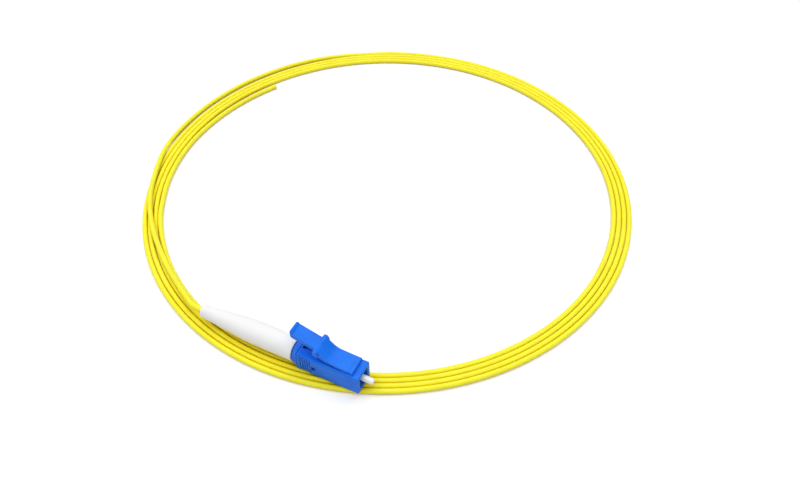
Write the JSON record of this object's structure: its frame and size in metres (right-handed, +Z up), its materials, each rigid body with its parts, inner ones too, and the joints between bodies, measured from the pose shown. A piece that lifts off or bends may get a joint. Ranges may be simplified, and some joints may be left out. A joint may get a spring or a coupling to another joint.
{
  "type": "fiber pigtail",
  "caption": "Coiled length of yellow buffered optical fibre with a small latching plug, tapered boot and ceramic ferrule at its end, and a plain cut end for splicing.",
  "frame": {"origin": "on the ferrule's axis, in the plane of the housing's front face", "axes": "+X along the ferrule, out of the plug's front; +Y across the plug, to the side where the coil lies; +Z up, to the latch lever's side"},
  "size_m": [0.1112, 0.11, 0.0104],
  "materials": {
    "blue_plastic": "moulded, slightly glossy",
    "boot_plastic": "smooth satin",
    "ceramic": "polished",
    "flange_metal": "nickel plated",
    "spring_wire": "drawn wire",
    "glass_fibre": "clear",
    "yellow_buffer": "smooth satin"
  },
  "bodies": {
    "plug": {"front_housing": "blue_plastic", "rear_body": "blue_plastic", "boot": "boot_plastic", "ferrule_spring": "spring_wire", "fibre_in_boot": "yellow_buffer", "cord_lead": "yellow_buffer", "cord_coil": "yellow_buffer", "cord_tail": "yellow_buffer"},
    "latch": {"latch_lever": "blue_plastic"},
    "ferrule_unit": {"ferrule": "ceramic", "ferrule_flange": "flange_metal", "bare_fibre": "glass_fibre", "fibre_in_plug": "yellow_buffer"}
  },
  "joints": [
    {"name": "latch_press", "type": "hinge", "parent": "plug", "child": "latch", "pos_m": [-0.0022, 0, 0.00268], "axis": [0, -1, 0], "range_deg": [0, 7], "stiffness_Nm_per_rad": 0.0005, "springref_deg": -2.86},
    {"name": "ferrule_slide", "type": "slide", "parent": "plug", "child": "ferrule_unit", "axis": [-1, 0, 0], "range_m": [0, 0.0009], "stiffness_N_per_m": 20, "springref_m": -0.002, "deforming": ["ferrule_spring"]}
  ]
}
